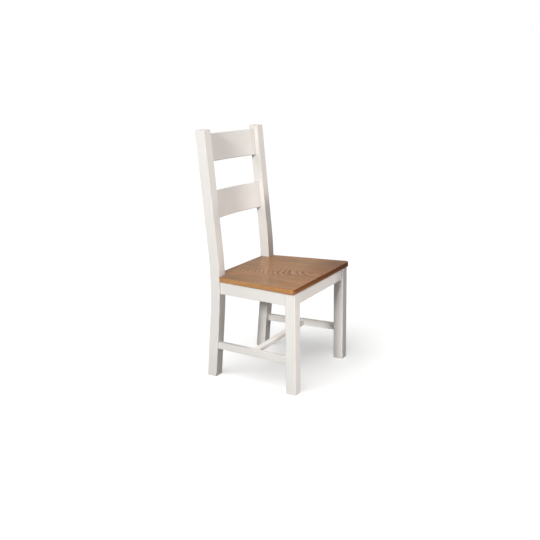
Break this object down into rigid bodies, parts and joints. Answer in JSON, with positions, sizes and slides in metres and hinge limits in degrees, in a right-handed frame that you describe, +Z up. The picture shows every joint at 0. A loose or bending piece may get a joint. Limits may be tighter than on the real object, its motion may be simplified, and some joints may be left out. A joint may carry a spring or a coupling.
{
  "type": "ladderback dining chair",
  "caption": "Painted ladderback dining chair with a solid oak seat, wide curved back slats, raked one-piece rear posts and an H-stretcher.",
  "frame": {"origin": "centre of the bounding box at floor level", "axes": "+Z up, -Y towards the front of the chair, +X towards the sitter's left"},
  "size_m": [0.541, 0.488, 1.066],
  "materials": {
    "painted_frame": "satin off-white paint on hardwood",
    "oak_seat": "stained oak under satin lacquer",
    "bare_beech": "bare beech",
    "zinc_screw": "zinc plated steel"
  },
  "bodies": {
    "root": {"rear_post_left": "painted_frame", "rear_post_right": "painted_frame", "front_leg_left": "painted_frame", "front_leg_right": "painted_frame", "crest_slat": "painted_frame", "lower_slat": "painted_frame", "front_apron": "painted_frame", "rear_apron": "painted_frame", "side_apron_left": "painted_frame", "side_apron_right": "painted_frame", "side_stretcher_left": "painted_frame", "side_stretcher_right": "painted_frame", "cross_stretcher": "painted_frame", "seat_board_right_outer": "oak_seat", "seat_board_right_middle": "oak_seat", "seat_board_right_inner": "oak_seat", "seat_board_left_inner": "oak_seat", "seat_board_left_middle": "oak_seat", "seat_board_left_outer": "oak_seat", "corner_block_front_left": "bare_beech", "corner_block_front_right": "bare_beech", "corner_block_rear_left": "bare_beech", "corner_block_rear_right": "bare_beech", "apron_dowels": "bare_beech", "block_screws": "zinc_screw", "seat_screws": "zinc_screw"}
  },
  "joints": []
}
